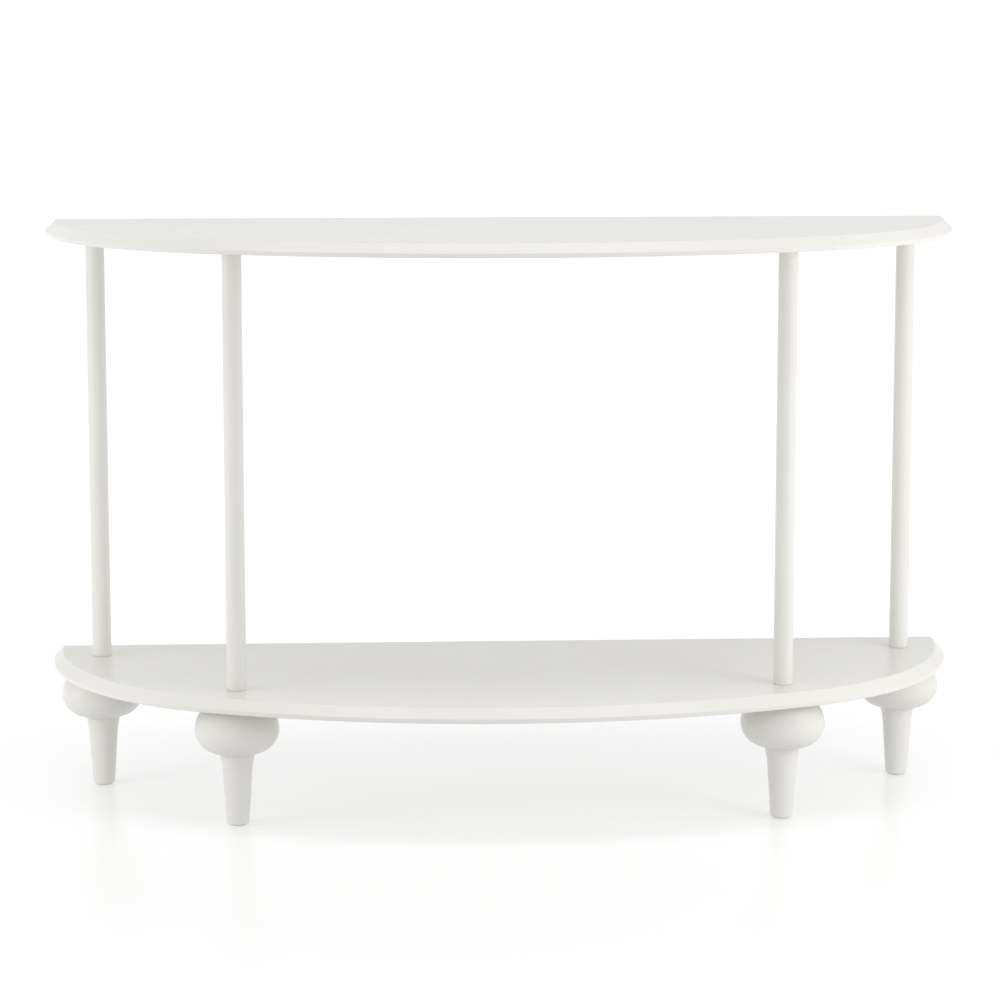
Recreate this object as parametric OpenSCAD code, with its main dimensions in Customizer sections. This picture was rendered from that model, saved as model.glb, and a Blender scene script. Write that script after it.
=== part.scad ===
// Demilune console table: a half-oval top and a matching low shelf, held apart by four round
// posts and carried on four turned feet. It knocks down: each foot's stud passes through the
// shelf into an insert in the post, and each post's own stud screws into the top.
//
// Millimetres, +Z up. X is the width and +Y points to the straight back edge.
// The origin is on the floor, at the centre of the footprint.

/* [Overall] */
// Width along the straight back edge
table_w = 1219.2; // [1100:0.1:1400]
// Depth from the back edge to the front of the curve
table_d = 406.4; // [380:0.1:440]
// Height of the top's upper face above the floor
table_h = 762; // [500:1:950]
// Height of the shelf's upper face above the floor
shelf_z = 177.8; // [160:0.1:240]

/* [Panels] */
// Thickness of the top and of the shelf
panel_t = 18; // [18:1:25]
// Width of the 45 degree chamfer along the curved edge
edge_chamfer = 12.5; // [4:0.5:14]
// Radius of the outline's two end arcs
end_r = 355.6; // [320:0.1:370]

/* [Posts] */
// Diameter of each post
post_d = 25.4; // [22:0.1:38]
// Distance from the panel's edge to each post's axis
leg_inset = 62; // [58:1:80]
// Distance of each front post from the centre line
front_leg_x = 353; // [250:1:400]

/* [Feet] */
// Largest diameter of the turned bulb
bulb_d = 109; // [90:1:112]
// Distance from the shelf's underside down to the bulb's widest point
bulb_drop = 32.8; // [26:0.1:34]
// Profile radius of the bulb above its widest point
bulb_upper_r = 35; // [34:1:42]
// Profile radius of the bulb below its widest point
bulb_lower_r = 31; // [24:1:34]
// Slope of the bulb's underside where it runs in to the crease, in degrees
bulb_slope = 20; // [10:1:30]
// Diameter of the crease where the bulb meets the stem
crease_d = 45.8; // [42:0.1:50]
// Diameter of the stem where its flare begins
stem_d = 38; // [34:1:40]
// Length of the flare between the stem and the crease
flare_l = 24; // [15:1:35]
// Diameter of the foot at its lower end
foot_end_d = 29; // [26:0.5:34]
// Thickness of the glide under each foot
glide_h = 2; // [2:0.5:4]
// Diameter of the glide under each foot
glide_d = 23; // [18:1:25]

/* [Hardware] */
// Outside diameter of the machine thread on the studs
stud_d = 8; // [6:1:8]
// Length of each stud's wood thread
wood_thread_l = 32; // [24:1:40]
// Length of the threaded insert in the top
top_insert_l = 12; // [10:1:13]
// Length of the threaded insert in each post
post_insert_l = 20; // [15:1:25]

/* [Hidden] */
$fn = 96;

// Where the four legs stand, in the order in which leg_xy lists them
SITES = ["back_left", "back_right", "front_left", "front_right"];
// The pieces that every leg has
LEG_PIECES = ["post", "foot", "glide", "glide_nail", "foot_stud", "post_insert", "post_stud",
              "top_insert"];

back_y = table_d / 2;
shelf_bottom = shelf_z - panel_t;
top_bottom = table_h - panel_t;

// The outline is three tangent arcs: an end arc at each side, centred on the back edge, and one
// long front arc, centred behind it. front_back is how far behind.
end_x = table_w / 2 - end_r;
front_back = (pow(end_x, 2) - pow(table_d - end_r, 2)) / (2 * (table_d - end_r));
front_r = table_d + front_back;

// Each back post is one inset from the back edge and one from the end arc; each front post is
// one inset from the front arc.
back_leg_x = end_x + sqrt(pow(end_r - leg_inset, 2) - pow(leg_inset, 2));
back_leg_y = back_y - leg_inset;
front_leg_y = back_y + front_back - sqrt(pow(front_r - leg_inset, 2) - pow(front_leg_x, 2));
leg_xy = [[-back_leg_x, back_leg_y], [back_leg_x, back_leg_y],
          [-front_leg_x, front_leg_y], [front_leg_x, front_leg_y]];

// Small eased edges on the turned pieces
post_ease = 0.8;
foot_ease = 1.5;

// Play between a metal piece and the hole that it sits in, on the radius
play = 0.05;
// Clearance hole for a stud, through the shelf
stud_hole_d = stud_d + 1;
// Thread rings on the studs
wood_thread_depth = 1;
machine_thread_depth = 0.7;
wood_pitch = 3;
machine_pitch = 1.25;

// Threaded inserts: a flange that lies flush and a body with a coarse outer thread
insert_d = 12;
insert_flange_d = 15;
insert_flange_h = 1.2;
insert_socket_af = 8.3;
insert_socket_h = 4;
insert_thread_depth = 0.8;

// Studs: the wood thread's point, the plain waist each side of the joint face, the lead-in at
// the machine thread's end, and how far that end reaches past the joint face
stud_point = 4;
stud_plain = 1.5;
stud_lead = 1;
foot_stud_reach = panel_t + post_insert_l - 1;
post_stud_reach = top_insert_l - 1;
// Free depth beyond the end of a stud or an insert
hole_end = 1.5;

// Glides: a moulded pad on a nail, with a skin of plastic under the nail's head
nail_d = 2.4;
nail_l = 16;
nail_head_d = 8;
nail_head_h = 0.8;
nail_point = 3;
glide_skin = 0.7;
glide_ease = 0.6;

arc_steps = 24;

wood_white = [0.93, 0.925, 0.91];
zinc = [0.72, 0.74, 0.76];
brass_tone = [0.78, 0.66, 0.42];
nylon = [0.88, 0.88, 0.86];

// Points along an arc, from one angle to the other
function arc(centre, r, from, to) =
    [for (i = [0 : arc_steps])
        let (a = from + (to - from) * i / arc_steps)
        centre + r * [cos(a), sin(a)]];

// A stack of thread rings as a profile: radius and height pairs up one side
function rings(r, depth, pitch, low, high) =
    let (turns = floor((high - low) / pitch))
    [for (i = [0 : turns - 1]) each
        [[r - depth, low + i * pitch], [r, low + (i + 0.5) * pitch]],
     [r - depth, low + turns * pitch]];

// ---- Panels ----

// Round panel blank with its underside at z = 0, chamfered along its rim
module panel_disc(r) {
    rotate_extrude($fn = 360)
        polygon([[0, 0], [r, 0], [r, panel_t - edge_chamfer], [r - edge_chamfer, panel_t],
                 [0, panel_t]]);
}

// The wedge in front of the back edge whose sides run through the arcs' centres, so that they
// meet the outline just where one arc takes over from the next
module front_wedge() {
    translate([0, 0, -1])
        linear_extrude(panel_t + 2)
            polygon([[0, front_back], [2 * end_x, -front_back], [-2 * end_x, -front_back]]);
}

// A half-oval panel with its underside at z = 0
module panel() {
    translate([0, back_y, 0])
        intersection() {
            union() {
                intersection() {
                    translate([0, front_back, 0]) panel_disc(front_r);
                    front_wedge();
                }
                difference() {
                    for (side = [-1, 1]) translate([side * end_x, 0, 0]) panel_disc(end_r);
                    front_wedge();
                }
            }
            translate([-table_w, -table_w, -2]) cube([2 * table_w, table_w, panel_t + 4]);
        }
}

// Blind hole for an insert, opening upwards at z = 0 with a seat for the flange
module insert_hole(length) {
    translate([0, 0, -length - hole_end]) cylinder(d = insert_d + 2 * play, h = length + hole_end);
    translate([0, 0, -insert_flange_h])
        cylinder(d = insert_flange_d + 2 * play, h = insert_flange_h + 1);
}

module top_panel() {
    color(wood_white)
        difference() {
            translate([0, 0, top_bottom]) panel();
            for (xy = leg_xy)
                translate([xy.x, xy.y, top_bottom]) mirror([0, 0, 1]) insert_hole(top_insert_l);
        }
}

module shelf_panel() {
    color(wood_white)
        difference() {
            translate([0, 0, shelf_bottom]) panel();
            for (xy = leg_xy)
                translate([xy.x, xy.y, shelf_bottom - 1]) cylinder(d = stud_hole_d, h = panel_t + 2);
        }
}

// ---- Posts and feet ----

// Plain round post with eased ends, standing on the shelf
module post(xy) {
    r = post_d / 2;
    length = top_bottom - shelf_z;
    color(wood_white)
        translate([xy.x, xy.y, shelf_z])
            difference() {
                rotate_extrude()
                    polygon([[0, 0], [r - post_ease, 0], [r, post_ease], [r, length - post_ease],
                             [r - post_ease, length], [0, length]]);
                mirror([0, 0, 1]) insert_hole(post_insert_l);
                translate([0, 0, length - wood_thread_l - hole_end])
                    cylinder(d = stud_d + 2 * play, h = wood_thread_l + hole_end + 1);
            }
}

// Turned foot: a bulb with a flat top, a crease, and a tapered stem that flares up to the crease
module foot(xy) {
    end_rad = foot_end_d / 2;
    stem_rad = stem_d / 2;
    bulb_z = shelf_bottom - bulb_drop;
    upper = [bulb_d / 2 - bulb_upper_r, bulb_z];
    lower = [bulb_d / 2 - bulb_lower_r, bulb_z];
    top_angle = asin(bulb_drop / bulb_upper_r);
    low_end = lower + bulb_lower_r * [sin(bulb_slope), -cos(bulb_slope)];
    crease_z = low_end.y - (low_end.x - crease_d / 2) * tan(bulb_slope);
    flare_z = crease_z - flare_l;
    taper = (stem_rad - end_rad) / flare_z;
    // What the flare adds at the crease to the straight taper
    flare_add = crease_d / 2 - stem_rad - taper * flare_l;
    flare = [for (i = [0 : arc_steps])
        let (t = i / arc_steps)
        [stem_rad + taper * flare_l * t + flare_add * pow(t, 2), flare_z + flare_l * t]];
    profile = concat(
        [[0, glide_h], [end_rad - foot_ease, glide_h], [end_rad, glide_h + foot_ease]],
        flare,
        arc(lower, bulb_lower_r, bulb_slope - 90, 0),
        arc(upper, bulb_upper_r, 0, top_angle),
        [[0, shelf_bottom]]);
    color(wood_white)
        translate([xy.x, xy.y, 0])
            difference() {
                rotate_extrude() polygon(profile);
                translate([0, 0, shelf_bottom - wood_thread_l - hole_end])
                    cylinder(d = stud_d + 2 * play, h = wood_thread_l + hole_end + 1);
                translate([0, 0, glide_h - 1])
                    cylinder(d = nail_d + 2 * play, h = nail_l + 1);
            }
}

// ---- Glides ----

// Moulded pad under a foot, with a seat inside for the nail's head
module glide(xy) {
    r = glide_d / 2;
    color(nylon)
        translate([xy.x, xy.y, 0])
            difference() {
                rotate_extrude()
                    polygon([[0, 0], [r - glide_ease, 0], [r, glide_ease], [r, glide_h], [0, glide_h]]);
                translate([0, 0, glide_skin - play])
                    cylinder(d = nail_head_d + 2 * play, h = nail_head_h + 2 * play);
                translate([0, 0, glide_skin]) cylinder(d = nail_d + 2 * play, h = glide_h);
            }
}

// Nail with a flat head and a point, holding the glide to the foot
module glide_nail(xy) {
    color(zinc)
        translate([xy.x, xy.y, glide_skin])
            rotate_extrude()
                polygon([[0, 0], [nail_head_d / 2, 0], [nail_head_d / 2, nail_head_h],
                         [nail_d / 2, nail_head_h], [nail_d / 2, nail_l - nail_point],
                         [0, nail_l]]);
}

// ---- Studs and inserts ----

// Hanger bolt with its joint face at z = 0: wood thread below, machine thread above
module stud(reach) {
    wood_rad = stud_d / 2;
    machine_rad = wood_rad - play;
    rotate_extrude()
        polygon(concat(
            [[0, -wood_thread_l], [wood_rad - wood_thread_depth, stud_point - wood_thread_l]],
            rings(wood_rad, wood_thread_depth, wood_pitch, stud_point - wood_thread_l, -stud_plain),
            [[machine_rad, -stud_plain], [machine_rad, stud_plain]],
            rings(machine_rad, machine_thread_depth, machine_pitch, stud_plain, reach - stud_lead),
            [[machine_rad - machine_thread_depth - stud_lead / 2, reach], [0, reach]]));
}

// Threaded insert with its flange face at z = 0, its body below and its bore right through
module threaded_insert(length) {
    r = insert_d / 2;
    body_top = -insert_flange_h;
    difference() {
        rotate_extrude()
            polygon(concat(
                [[0, -length], [r - insert_thread_depth, -length]],
                rings(r, insert_thread_depth, wood_pitch, -length, body_top),
                [[r - insert_thread_depth, body_top], [insert_flange_d / 2, body_top],
                 [insert_flange_d / 2, 0], [0, 0]]));
        translate([0, 0, -length - 1]) cylinder(d = stud_d + 2 * play, h = length + 2);
        translate([0, 0, -insert_socket_h])
            cylinder(d = insert_socket_af / cos(30), h = insert_socket_h + 1, $fn = 6);
    }
}

// Stud from the foot up through the shelf
module foot_stud(xy) {
    color(zinc) translate([xy.x, xy.y, shelf_bottom]) stud(foot_stud_reach);
}

// Insert in the lower end of the post
module post_insert(xy) {
    color(brass_tone)
        translate([xy.x, xy.y, shelf_z]) mirror([0, 0, 1]) threaded_insert(post_insert_l);
}

// Stud from the upper end of the post into the top
module post_stud(xy) {
    color(zinc) translate([xy.x, xy.y, top_bottom]) stud(post_stud_reach);
}

// Insert in the underside of the top
module top_insert(xy) {
    color(brass_tone)
        translate([xy.x, xy.y, top_bottom]) mirror([0, 0, 1]) threaded_insert(top_insert_l);
}

top_panel();
shelf_panel();
for (i = [0 : len(SITES) - 1]) {
    xy = leg_xy[i];
    post(xy);
    foot(xy);
    glide(xy);
    glide_nail(xy);
    foot_stud(xy);
    post_insert(xy);
    post_stud(xy);
    top_insert(xy);
}
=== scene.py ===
"""Half-oval console table: looks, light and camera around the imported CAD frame.

Metres, +Z up, the curved front towards -Y and the straight back edge at +Y.
"""
import math

import bmesh
import bpy
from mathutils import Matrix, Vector


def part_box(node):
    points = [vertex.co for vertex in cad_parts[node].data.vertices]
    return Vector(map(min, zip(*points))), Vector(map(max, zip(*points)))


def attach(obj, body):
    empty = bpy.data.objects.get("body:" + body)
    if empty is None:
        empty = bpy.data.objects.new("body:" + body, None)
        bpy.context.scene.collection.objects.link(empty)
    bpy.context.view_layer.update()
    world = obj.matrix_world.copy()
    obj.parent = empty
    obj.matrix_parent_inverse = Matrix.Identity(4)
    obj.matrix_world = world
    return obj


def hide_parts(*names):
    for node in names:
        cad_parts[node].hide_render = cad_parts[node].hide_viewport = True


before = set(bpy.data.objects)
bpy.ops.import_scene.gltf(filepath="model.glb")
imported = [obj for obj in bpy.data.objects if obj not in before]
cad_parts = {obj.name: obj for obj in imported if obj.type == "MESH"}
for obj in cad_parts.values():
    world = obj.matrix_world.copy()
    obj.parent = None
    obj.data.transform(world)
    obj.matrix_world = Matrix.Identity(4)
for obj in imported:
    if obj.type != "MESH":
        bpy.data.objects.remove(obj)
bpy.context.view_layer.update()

SITES = ("back_left", "back_right", "front_left", "front_right")

# Design values that the frame's boxes don't give
END_ARC_R = 0.3556
EDGE_CHAMFER = 0.0125
BULB_UPPER_R = 0.035
BULB_LOWER_R = 0.031
BULB_DROP = 0.0328
BULB_SLOPE = math.radians(20)
CREASE_R = 0.0229
STEM_R = 0.019
FLARE_L = 0.024
FOOT_END_R = 0.0145

# Radii of the edges as the lacquer leaves them
PANEL_EASE = 0.0008
ARRIS_LOW_R = 0.0015
ARRIS_HIGH_R = 0.0018
CORNER_EASE = 0.0012
POST_EASE = 0.0008
FOOT_EASE = 0.0016
CREASE_EASE = 0.0010

# Holes: radius and depth, each a little more than what it holds
STUD_CLEARANCE_R = 0.0045
PILOT_HOLE = (0.00405, 0.0335)
INSERT_FLANGE = (0.00755, 0.0012)
TOP_INSERT_HOLE = (0.00605, 0.0135)
POST_INSERT_HOLE = (0.00605, 0.0215)
NAIL_HOLE = (0.00125, 0.0160)
# How far a cutter stands out of the face it goes through
CUT_PAST = 0.001

# Mesh density
FILLET_STEPS = 6
BULB_STEPS = 20
FLARE_STEPS = 11
END_ARC_STEPS = 84
FRONT_ARC_STEPS = 80
CAP_GRID = 0.05
RING_GAP = 0.05
SUPPORT_GAP = 0.0006
SHARP_ANGLE = math.radians(32)
POST_SEGMENTS = 96
FOOT_SEGMENTS = 144
HOLE_SEGMENTS = 48


# ---- Profiles: lists of (x, y, strength of the arris) ----

def arc(centre, radius, start, end, count):
    """An arc from one angle to the other in count steps, with no arris on it."""
    angles = [start + (end - start) * i / count for i in range(count + 1)]
    return [(centre[0] + radius * math.cos(a), centre[1] + radius * math.sin(a), 0.0)
            for a in angles]


def fillet(before, corner, after, radius, strength=1.0):
    """A corner rounded to a radius; the arris is strongest at its middle."""
    tip = Vector(corner)
    u, v = (Vector(before) - tip).normalized(), (Vector(after) - tip).normalized()
    half = u.angle(v) / 2
    reach = radius / math.tan(half)
    centre = tip + (u + v).normalized() * radius / math.sin(half)
    first, last = tip + u * reach - centre, tip + v * reach - centre
    start = math.atan2(first.y, first.x)
    turn = math.atan2(first.x * last.y - first.y * last.x, first.dot(last))
    points = []
    for i in range(FILLET_STEPS + 1):
        t = i / FILLET_STEPS
        a = start + turn * t
        points.append((centre.x + radius * math.cos(a), centre.y + radius * math.sin(a),
                       strength * math.sin(math.pi * t)))
    return points


def point(x, y):
    """A run of one plain point."""
    return [(x, y, 0.0)]


def joined(*runs):
    """Runs of points joined by straight lines, with a support point near each end of a line."""
    path = list(runs[0])
    for run in runs[1:]:
        a, b = Vector(path[-1][:2]), Vector(run[0][:2])
        length = (b - a).length
        if length > 4 * SUPPORT_GAP:
            parts = math.ceil(length / RING_GAP)
            for i in range(parts + 1):
                p = a.lerp(b, (SUPPORT_GAP + (length - 2 * SUPPORT_GAP) * i / parts) / length)
                path += point(p.x, p.y)
        path += run
    return path


# ---- Meshes ----

def finished_mesh(name, verts, faces, arris):
    """A smooth mesh with outward normals, sharp edges marked and arris strengths stored."""
    mesh = bpy.data.meshes.new(name)
    mesh.from_pydata(verts, [], faces)
    mesh.attributes.new("arris", "FLOAT", "POINT").data.foreach_set("value", arris)
    work = bmesh.new()
    work.from_mesh(mesh)
    bmesh.ops.recalc_face_normals(work, faces=work.faces)
    work.to_mesh(mesh)
    work.free()
    mesh.shade_smooth()
    mesh.set_sharp_from_angle(angle=SHARP_ANGLE)
    return mesh


def lathe(name, profile, segments, x, y):
    """Turns a profile of (radius, height, arris) around the upright axis through (x, y)."""
    verts, faces, arris, rings = [], [], [], []
    for radius, height, strength in profile:
        count = segments if radius > 0 else 1
        rings.append(range(len(verts), len(verts) + count))
        for i in range(count):
            a = 2 * math.pi * i / segments
            verts.append((x + radius * math.cos(a), y + radius * math.sin(a), height))
            arris.append(strength)
    for low, high in zip(rings, rings[1:]):
        for i in range(segments):
            j = (i + 1) % segments
            if len(low) == 1:
                faces.append((low[0], high[j], high[i]))
            elif len(high) == 1:
                faces.append((low[i], low[j], high[0]))
            else:
                faces.append((low[i], low[j], high[j], high[i]))
    return finished_mesh(name, verts, faces, arris)


def half_oval(low, high, inset, back_inset, curve_arris, back_arris):
    """A closed ring of the panel's outline, its curve and its back edge each moved inwards."""
    depth = high.y - low.y
    end_x = high.x - END_ARC_R
    rise = depth - END_ARC_R
    behind = (end_x ** 2 - rise ** 2) / (2 * rise)
    front_r = depth + behind - inset
    end_r = END_ARC_R - inset
    back = high.y - back_inset
    meet = math.atan2(end_x, behind) - math.pi / 2
    # The right half, from the back edge round to the middle of the front
    end = arc((end_x, high.y), end_r, -math.asin((back_inset + CORNER_EASE) / end_r), meet,
              END_ARC_STEPS)
    front = arc((0, high.y + behind), front_r, meet, -math.pi / 2, FRONT_ARC_STEPS)
    tip = (end_x + math.sqrt(end_r ** 2 - back_inset ** 2), back)
    # The corner's fillet stops just short of the arc's first point, so the two never meet
    ease = [(x, y, max(s, curve_arris)) for x, y, s in
            fillet((0, back), tip, end[0][:2], CORNER_EASE * 0.98, strength=0.7)]
    half = ease + [(x, y, curve_arris) for x, y, _ in end + front[1:]]
    mirrored = [(-x, y, s) for x, y, s in reversed(half[:-1])]
    start = half[0][0]
    parts = round(2 * high.x / CAP_GRID)
    back_line = [(-start + 2 * start * i / parts, back, back_arris) for i in range(1, parts)]
    return half + mirrored + back_line


def panel_section(low, high):
    """Rings up a panel's edge: (inset, back inset, height, curve's arris, back's arris)."""
    chamfer_z = high - EDGE_CHAMFER
    support = 4 * SUPPORT_GAP
    foot = fillet((1, low), (0, low), (0, high), PANEL_EASE)
    edge = joined(
        foot,
        fillet((0, low), (0, chamfer_z), (EDGE_CHAMFER, high), ARRIS_LOW_R),
        fillet((0, chamfer_z), (EDGE_CHAMFER, high), (1, high), ARRIS_HIGH_R))
    rings = []
    for i, (inset, z, strength) in enumerate(edge):
        if i < len(foot):
            back_inset, back_strength = inset, strength
        else:
            drop = max(0.0, z - (high - PANEL_EASE))
            back_inset = PANEL_EASE - math.sqrt(max(0.0, PANEL_EASE ** 2 - drop ** 2))
            back_strength = math.sin(math.pi * drop / PANEL_EASE)
        rings.append((inset, back_inset, z, strength, back_strength))
    inner = rings[-1]
    return ([(rings[0][0] + support, rings[0][1] + support, low, 0.0, 0.0)] + rings
            + [(inner[0] + support, inner[1] + support, high, 0.0, 0.0)])


def panel_mesh(name, low, high):
    """A half-oval panel with eased edges, closed above and below by gridded caps."""
    verts, arris, faces, rings = [], [], [], []
    for inset, back_inset, z, edge, back in panel_section(low.z, high.z):
        ring = half_oval(low, high, inset, back_inset, edge, back)
        rings.append(range(len(verts), len(verts) + len(ring)))
        verts += [(x, y, z) for x, y, _ in ring]
        arris += [s for _, _, s in ring]
    for lower, upper in zip(rings, rings[1:]):
        for i in range(len(lower)):
            j = (i + 1) % len(lower)
            faces.append((lower[i], lower[j], upper[j], upper[i]))
    faces += [tuple(reversed(rings[0])), tuple(rings[-1])]
    mesh = finished_mesh(name, verts, faces, arris)
    work = bmesh.new()
    work.from_mesh(mesh)
    for axis, start, end in ((0, low.x, high.x), (1, low.y, high.y)):
        count = round((end - start) / CAP_GRID)
        for i in range(1, count):
            place, normal = Vector(), Vector()
            place[axis] = start + (end - start) * i / count
            normal[axis] = 1
            caps = [f for f in work.faces if abs(f.normal.z) > 0.9999]
            parts = dict.fromkeys(caps)
            for face in caps:
                parts.update(dict.fromkeys([*face.edges, *face.verts]))
            bmesh.ops.bisect_plane(work, geom=list(parts), plane_co=place, plane_no=normal,
                                   dist=1e-6)
    work.to_mesh(mesh)
    work.free()
    return mesh


def with_holes(mesh, cutters):
    """The mesh with the cutter meshes taken out of it."""
    scene = bpy.context.scene
    base = bpy.data.objects.new("cut_base", mesh)
    scene.collection.objects.link(base)
    tools = []
    for i, cutter in enumerate(cutters):
        tool = bpy.data.objects.new(f"cutter_{i}", cutter)
        scene.collection.objects.link(tool)
        tools.append(tool)
        cut = base.modifiers.new(f"hole_{i}", "BOOLEAN")
        cut.operation = "DIFFERENCE"
        cut.solver = "EXACT"
        cut.object = tool
    evaluated = base.evaluated_get(bpy.context.evaluated_depsgraph_get())
    result = bpy.data.meshes.new_from_object(evaluated)
    for thing in [base, *tools]:
        bpy.data.objects.remove(thing)
    result.name = mesh.name
    result.set_sharp_from_angle(angle=SHARP_ANGLE)
    return result


def post_profile(low, high, radius):
    """Half section of a post, round its insert hole, its eased outside and its pilot hole."""
    insert_r, insert_deep = POST_INSERT_HOLE
    flange_r, flange_deep = INSERT_FLANGE
    pilot_r, pilot_deep = PILOT_HOLE
    return joined(
        point(0, low + insert_deep), point(insert_r, low + insert_deep),
        point(insert_r, low + flange_deep), point(flange_r, low + flange_deep),
        point(flange_r, low),
        fillet((0, low), (radius, low), (radius, high), POST_EASE),
        fillet((radius, low), (radius, high), (0, high), POST_EASE),
        point(pilot_r, high), point(pilot_r, high - pilot_deep), point(0, high - pilot_deep))


def foot_profile(low, high, bulb_r):
    """Half section of a foot: eased end, tapered stem, flare, crease, bulb and flat top."""
    nail_r, nail_deep = NAIL_HOLE
    pilot_r, pilot_deep = PILOT_HOLE
    bulb_z = high - BULB_DROP
    upper, lower = (bulb_r - BULB_UPPER_R, bulb_z), (bulb_r - BULB_LOWER_R, bulb_z)
    slope_x = lower[0] + BULB_LOWER_R * math.sin(BULB_SLOPE)
    slope_z = bulb_z - BULB_LOWER_R * math.cos(BULB_SLOPE)
    crease_z = slope_z - (slope_x - CREASE_R) * math.tan(BULB_SLOPE)
    flare_z = crease_z - FLARE_L
    taper = (STEM_R - FOOT_END_R) / flare_z
    flare_add = CREASE_R - STEM_R - taper * FLARE_L
    flare = [(STEM_R + taper * FLARE_L * t + flare_add * t ** 2, flare_z + FLARE_L * t, 0.0)
             for t in (i / FLARE_STEPS for i in range(FLARE_STEPS))]
    crease = fillet(flare[-1][:2], (CREASE_R, crease_z), (slope_x, slope_z), CREASE_EASE)
    top_angle = math.asin(BULB_DROP / BULB_UPPER_R)
    return joined(
        point(0, low + nail_deep), point(nail_r, low + nail_deep), point(nail_r, low),
        fillet((0, low), (FOOT_END_R, low), flare[0][:2], FOOT_EASE),
        # The crease's arris is stored negative; the lacquer darkens it there as painted shade
        flare, [(x, z, -s) for x, z, s in crease],
        arc(lower, BULB_LOWER_R, BULB_SLOPE - math.pi / 2, 0, BULB_STEPS),
        arc(upper, BULB_UPPER_R, 0, top_angle, BULB_STEPS)[1:],
        point(pilot_r, high), point(pilot_r, high - pilot_deep), point(0, high - pilot_deep))


# ---- Materials ----

class Shader:
    """A material's node tree around one Principled shader, built node by node."""

    def __init__(self, name, **constants):
        self.material = bpy.data.materials.new(name)
        self.material.use_nodes = True
        self.tree = self.material.node_tree
        self.bsdf = self.tree.nodes["Principled BSDF"]
        for socket, value in constants.items():
            self.bsdf.inputs[socket.replace("_", " ")].default_value = value
        self.place = self.add("ShaderNodeTexCoord").outputs["Object"]

    def add(self, kind, inputs=None, **settings):
        """A node with its settings, and its inputs given as values or as sockets to link."""
        node = self.tree.nodes.new(kind)
        for key, value in settings.items():
            setattr(node, key, value)
        for key, value in (inputs or {}).items():
            self.feed(node.inputs[key], value)
        return node

    def feed(self, socket, value):
        """Links a socket to another, or sets its value."""
        if isinstance(value, bpy.types.NodeSocket):
            self.tree.links.new(value, socket)
        else:
            socket.default_value = value

    def noise(self, scale, stretch=(1, 1, 1), detail=2.0, roughness=0.5, seed=(0, 0, 0)):
        """Noise of a scale per metre, stretched along the axes where stretch is below one."""
        mapped = self.add("ShaderNodeMapping", {"Vector": self.place, "Scale": stretch,
                                                "Location": seed})
        texture = self.add("ShaderNodeTexNoise", {
            "Vector": mapped.outputs["Vector"], "Scale": scale, "Detail": detail,
            "Roughness": roughness})
        return texture.outputs["Fac"]

    def span(self, value, low, high, to_low, to_high):
        """A value taken from one range to another and kept inside it."""
        return self.add("ShaderNodeMapRange", {
            "Value": value, "From Min": low, "From Max": high,
            "To Min": to_low, "To Max": to_high}).outputs["Result"]

    def maths(self, operation, a, b):
        """One arithmetic step."""
        return self.add("ShaderNodeMath", {0: a, 1: b}, operation=operation).outputs["Value"]

    def mix(self, factor, a, b):
        """One colour run into another."""
        node = self.add("ShaderNodeMix", data_type="RGBA")
        self.feed(node.inputs["Factor"], factor)
        self.feed(node.inputs["A"], a)
        self.feed(node.inputs["B"], b)
        return node.outputs["Result"]

    def bump(self, height, distance, normal=None):
        """A bump of a height in metres, laid over another if one is given."""
        inputs = {"Height": height, "Distance": distance, "Strength": 1.0}
        if normal is not None:
            inputs["Normal"] = normal
        return self.add("ShaderNodeBump", inputs).outputs["Normal"]

    def surface(self, **sockets):
        """Links the sockets that vary over the surface."""
        for name, value in sockets.items():
            self.feed(self.bsdf.inputs[name.replace("_", " ")], value)
        return self.material


def colour(r, g, b):
    """A linear colour with its alpha."""
    return (r, g, b, 1.0)


def lacquer(name, along):
    """Satin white lacquer on sealed wood, whose faint grain runs along one axis."""
    shader = Shader(name, IOR=1.5, Coat_Weight=0.35, Coat_Roughness=0.22)
    stretch = tuple(0.03 if axis == along else 1.0 for axis in range(3))
    clouds = shader.noise(5.0, detail=3.0)
    grain = shader.noise(520.0, stretch, detail=4.0, roughness=0.6)
    peel = shader.noise(260.0, detail=1.0, seed=(3.1, 1.7, 0.4))
    sweep = shader.noise(38.0, detail=2.0, seed=(0.6, 5.2, 2.3))
    breakup = shader.noise(240.0, detail=4.0, roughness=0.7, seed=(1.9, 0.3, 4.4))

    arris = shader.add("ShaderNodeAttribute", attribute_name="arris").outputs["Fac"]
    rubbed = shader.maths("MULTIPLY", shader.span(arris, 0.1, 1.0, 0.0, 1.0),
                          shader.span(breakup, 0.42, 0.62, 0.15, 1.0))
    # Painted shade: the foot's crease, whose arris is stored negative, is darkened
    crease_shade = shader.span(arris, -1.0, 0.0, 1.0, 0.0)

    body = shader.mix(shader.span(clouds, 0.3, 0.7, 0.0, 1.0),
                      colour(0.735, 0.724, 0.690), colour(0.756, 0.747, 0.716))
    grained = shader.mix(shader.span(grain, 0.55, 0.75, 0.0, 0.35), body,
                         colour(0.715, 0.703, 0.668))
    worn = shader.mix(shader.maths("MULTIPLY", rubbed, 0.35), grained,
                      colour(0.690, 0.668, 0.615))
    final = shader.mix(shader.maths("MULTIPLY", crease_shade, 0.4), worn, colour(0.60, 0.585, 0.54))

    gloss = shader.maths("ADD", shader.span(sweep, 0.3, 0.7, 0.30, 0.37),
                         shader.maths("MULTIPLY", rubbed, 0.10))
    relief = shader.bump(peel, 0.0000040, shader.bump(grain, 0.0000015))
    return shader.surface(Base_Color=final, Roughness=gloss, Normal=relief)


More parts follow.
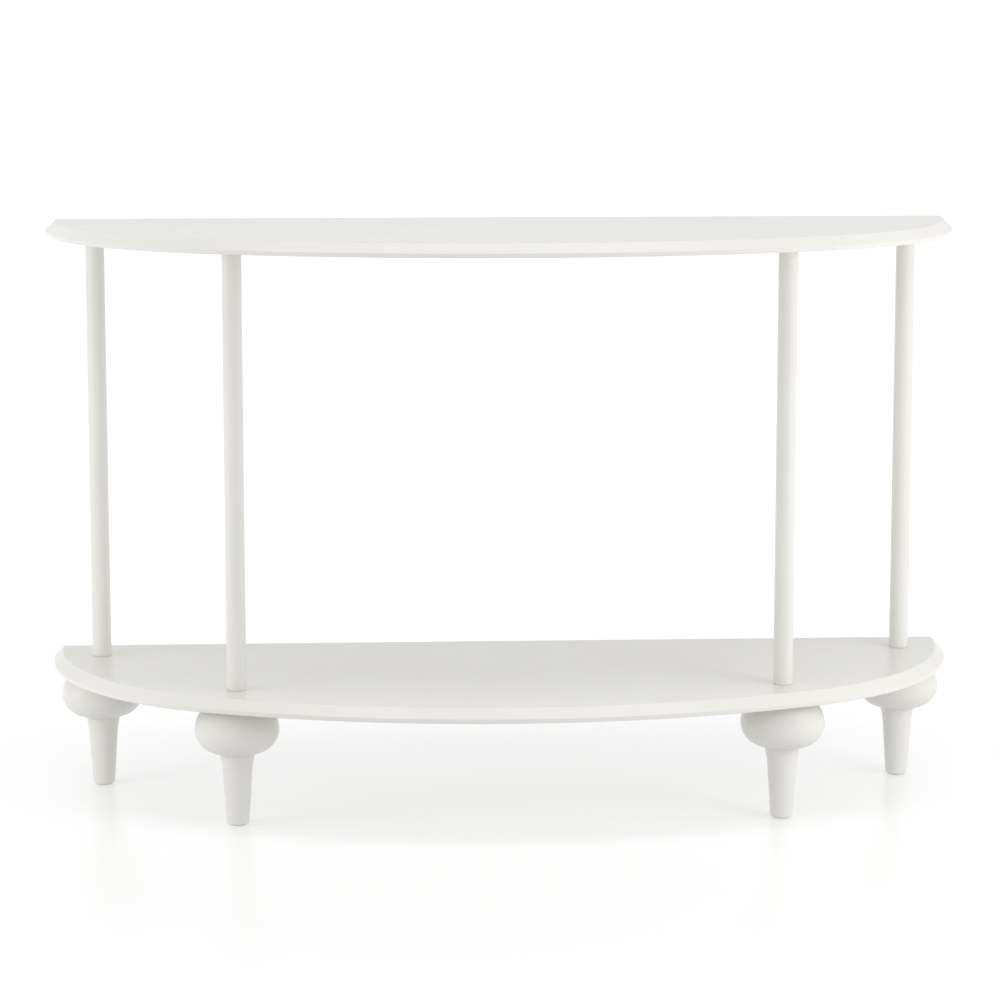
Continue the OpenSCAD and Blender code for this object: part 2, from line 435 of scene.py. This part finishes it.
def moulded_nylon(name):
    """Matte natural nylon with a fine spark-eroded texture and scuffs."""
    shader = Shader(name, IOR=1.53, Subsurface_Weight=0.08, Subsurface_Scale=0.002)
    clouds = shader.noise(90.0, detail=3.0)
    texture = shader.noise(2600.0, detail=2.0, seed=(2.0, 0.7, 1.1))
    scuffs = shader.noise(700.0, (1.0, 0.12, 1.0), detail=4.0, roughness=0.7)
    tone = shader.mix(shader.span(clouds, 0.3, 0.7, 0.0, 1.0),
                      colour(0.60, 0.60, 0.56), colour(0.68, 0.68, 0.645))
    scuffed = shader.mix(shader.span(scuffs, 0.6, 0.75, 0.0, 0.3), tone,
                         colour(0.42, 0.41, 0.38))
    return shader.surface(Base_Color=scuffed, Roughness=shader.span(texture, 0.3, 0.7, 0.5, 0.64),
                          Normal=shader.bump(texture, 0.00002))


def plated_steel(name):
    """Bright zinc plate on turned steel: fine turning lines and a faint bluish spangle."""
    shader = Shader(name, Metallic=1.0)
    spangle = shader.noise(900.0, detail=3.0)
    lines = shader.noise(4200.0, (0.05, 0.05, 1.0), detail=2.0)
    tone = shader.mix(shader.span(spangle, 0.35, 0.65, 0.0, 1.0),
                      colour(0.56, 0.58, 0.61), colour(0.70, 0.71, 0.71))
    return shader.surface(Base_Color=tone, Roughness=shader.span(lines, 0.3, 0.7, 0.24, 0.42),
                          Normal=shader.bump(lines, 0.000008))


def machined_brass(name):
    """Unpolished machined brass with turning lines and slight tarnish."""
    shader = Shader(name, Metallic=1.0)
    tarnish = shader.noise(420.0, detail=4.0, roughness=0.65)
    lines = shader.noise(5000.0, (0.05, 0.05, 1.0), detail=2.0)
    tone = shader.mix(shader.span(tarnish, 0.4, 0.7, 0.0, 1.0),
                      colour(0.72, 0.55, 0.27), colour(0.50, 0.36, 0.17))
    return shader.surface(Base_Color=tone, Roughness=shader.span(tarnish, 0.3, 0.7, 0.28, 0.48),
                          Normal=shader.bump(lines, 0.000008))


# ---- The table ----

def add_piece(mesh, node, material):
    """Shows a mesh in place of the CAD node that it stands for."""
    piece = bpy.data.objects.new(mesh.name, mesh)
    bpy.context.scene.collection.objects.link(piece)
    mesh.materials.clear()
    mesh.materials.append(material)
    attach(piece, "root")
    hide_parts(node)


def axis_of(node):
    """The upright axis through the middle of a node's box."""
    low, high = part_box(node)
    return (low.x + high.x) / 2, (low.y + high.y) / 2


panel_lacquer = lacquer("panel_lacquer", along=0)
turned_lacquer = lacquer("turned_lacquer", along=2)
hardware = {"glide": moulded_nylon("moulded_nylon"), "glide_nail": plated_steel("plated_steel")}
hardware["foot_stud"] = hardware["post_stud"] = hardware["glide_nail"]
hardware["post_insert"] = hardware["top_insert"] = machined_brass("machined_brass")

top_low, top_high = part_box("top_panel")
insert_r, insert_deep = TOP_INSERT_HOLE
flange_r, flange_deep = INSERT_FLANGE
insert_cut = [(0, top_low.z - CUT_PAST, 0), (flange_r, top_low.z - CUT_PAST, 0),
              (flange_r, top_low.z + flange_deep, 0), (insert_r, top_low.z + flange_deep, 0),
              (insert_r, top_low.z + insert_deep, 0), (0, top_low.z + insert_deep, 0)]
shelf_low, shelf_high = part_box("shelf_panel")
stud_cut = [(0, shelf_low.z - CUT_PAST, 0), (STUD_CLEARANCE_R, shelf_low.z - CUT_PAST, 0),
            (STUD_CLEARANCE_R, shelf_high.z + CUT_PAST, 0), (0, shelf_high.z + CUT_PAST, 0)]
for node, low, high, cut in (("top_panel", top_low, top_high, insert_cut),
                             ("shelf_panel", shelf_low, shelf_high, stud_cut)):
    cutters = [lathe(f"cut_{site}", cut, HOLE_SEGMENTS, *axis_of("post_" + site))
               for site in SITES]
    mesh = with_holes(panel_mesh("lacquered_" + node, low, high), cutters)
    add_piece(mesh, node, panel_lacquer)

for site in SITES:
    for part, section, segments in (("post", post_profile, POST_SEGMENTS),
                                    ("foot", foot_profile, FOOT_SEGMENTS)):
        node = f"{part}_{site}"
        low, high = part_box(node)
        profile = section(low.z, high.z, (high.x - low.x) / 2)
        mesh = lathe("lacquered_" + node, profile, segments, *axis_of(node))
        add_piece(mesh, node, turned_lacquer)
    for part, material in hardware.items():
        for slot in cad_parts[f"{part}_{site}"].material_slots:
            slot.material = material


# ---- Floor, light and camera ----

FLOOR_R = 60.0
FLOOR_GREYS = (0.62, 0.63)
# The floor's own glow: weak under the table, so its shadow shows, and stronger away from it
GLOW_NEAR, GLOW_FAR = 0.33, 0.55
GLOW_FROM, GLOW_TO = 0.6, 2.5
CAMERA_AT = Vector((-0.2115, -4.0621, 1.1051))
CAMERA_TO = Vector((-0.0105, 0.0, 0.5146))
LENS_MM = 113.98
SENSOR_MM = 36.0
SHIFT_Y = -0.08
ROOM_LIGHT = 0.74
# Softboxes: place, the point each faces, width and height, watts, shown in reflections
SOFTBOXES = {
    "overhead": ((0, 0, 2.8), (0, 0, 0.5), (3.0, 2.4), 1.0, True),
    "strip": ((0, -0.5, 2.6), (0, -0.1, 0.7), (2.4, 0.6), 11.2, True),
    "back": ((0, 2.4, 1.1), (0, 0, 0.4), (4.0, 2.0), 4.2, True),
    "side_right": ((1.9, -0.5, 0.6), (0.4, 0, 0.4), (1.0, 1.0), 5.7, False),
    "right_near": ((1.35, -1.0, 0.6), (0.4, 0, 0.4), (0.6, 1.0), 5.7, False),
    "side_left": ((-1.9, -0.5, 0.5), (-0.4, 0, 0.35), (1.0, 1.0), 9.6, False),
}

scene = bpy.context.scene

floor_mesh = bpy.data.meshes.new("floor")
floor_mesh.from_pydata([(FLOOR_R * x, FLOOR_R * y, 0.0) for x, y in
                        ((-1, -1), (1, -1), (1, 1), (-1, 1))], [], [(0, 1, 2, 3)])
floor = bpy.data.objects.new("floor", floor_mesh)
scene.collection.objects.link(floor)
floor_shader = Shader("pale_floor", IOR=1.45)
floor_shader.bsdf.inputs["Emission Color"].default_value = colour(1, 1, 1)
clouds = floor_shader.noise(1.5, detail=3.0)
away = floor_shader.add("ShaderNodeVectorMath", {0: floor_shader.place}, operation="LENGTH")
floor_mesh.materials.append(floor_shader.surface(
    Base_Color=floor_shader.mix(clouds, *(colour(grey, grey, grey) for grey in FLOOR_GREYS)),
    Roughness=floor_shader.span(clouds, 0.3, 0.7, 0.22, 0.26),
    Emission_Strength=floor_shader.span(away.outputs["Value"], GLOW_FROM, GLOW_TO,
                                        GLOW_NEAR, GLOW_FAR)))
# The room's light reaches the table's underside through the floor
floor.visible_diffuse = floor.visible_shadow = False

# White surroundings, seen only by the camera; the room's light comes from the world
backdrop_mesh = bpy.data.meshes.new("backdrop")
work = bmesh.new()
bmesh.ops.create_icosphere(work, subdivisions=4, radius=FLOOR_R)
work.to_mesh(backdrop_mesh)
work.free()
backdrop = bpy.data.objects.new("backdrop", backdrop_mesh)
scene.collection.objects.link(backdrop)
white = Shader("white_surroundings", Base_Color=colour(0, 0, 0), Emission_Strength=1.0)
white.bsdf.inputs["Emission Color"].default_value = colour(1, 1, 1)
backdrop_mesh.materials.append(white.material)
for ray in ("diffuse", "glossy", "transmission", "shadow"):
    setattr(backdrop, "visible_" + ray, False)

world = bpy.data.worlds.new("studio")
world.use_nodes = True
world.node_tree.nodes["Background"].inputs["Color"].default_value = colour(1, 1, 1)
world.node_tree.nodes["Background"].inputs["Strength"].default_value = ROOM_LIGHT
scene.world = world

for name, (at, to, size, power, reflected) in SOFTBOXES.items():
    lamp = bpy.data.lights.new(name, "AREA")
    lamp.shape = "RECTANGLE"
    lamp.size, lamp.size_y = size
    lamp.energy = power
    lamp_object = bpy.data.objects.new(name, lamp)
    scene.collection.objects.link(lamp_object)
    lamp_object.location = at
    lamp_object.rotation_euler = (Vector(to) - Vector(at)).to_track_quat("-Z", "Y").to_euler()
    lamp_object.visible_camera = False
    lamp_object.visible_glossy = reflected

camera_data = bpy.data.cameras.new("camera")
camera_data.lens = LENS_MM
camera_data.sensor_width = SENSOR_MM
camera_data.shift_y = SHIFT_Y
camera = bpy.data.objects.new("camera", camera_data)
scene.collection.objects.link(camera)
camera.location = CAMERA_AT
camera.rotation_euler = (CAMERA_TO - CAMERA_AT).to_track_quat("-Z", "Y").to_euler()
scene.camera = camera
scene.view_settings.view_transform = "Standard"
